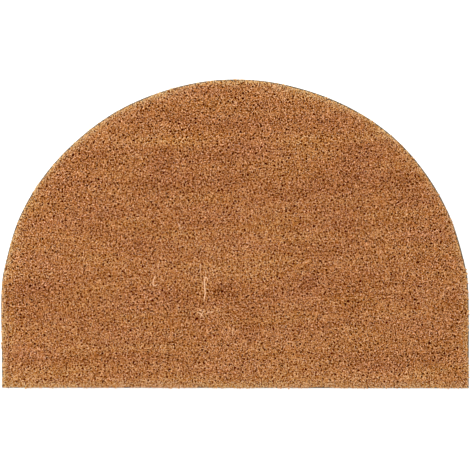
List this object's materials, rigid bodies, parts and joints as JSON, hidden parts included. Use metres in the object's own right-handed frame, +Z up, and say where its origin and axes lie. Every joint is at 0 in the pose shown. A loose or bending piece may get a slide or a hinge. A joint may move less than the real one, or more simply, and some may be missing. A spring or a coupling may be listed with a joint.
{
  "type": "half round doormat",
  "caption": "Half round coir doormat: a dense sheared pile of coconut fibre on a thin PVC backing, flat underneath, for wiping shoes at a doorway.",
  "frame": {"origin": "middle of the underside, on the floor, halfway between the straight edge and the top of the arc", "axes": "+X along the straight edge, +Y from the straight edge towards the top of the arc, +Z up out of the pile"},
  "size_m": [0.6033, 0.399, 0.0156],
  "materials": {
    "coir": "matt, coarse cut fibre",
    "pvc": "dark, matt, slightly grained"
  },
  "bodies": {
    "root": {"backing": "pvc", "pile": "coir"}
  },
  "joints": []
}
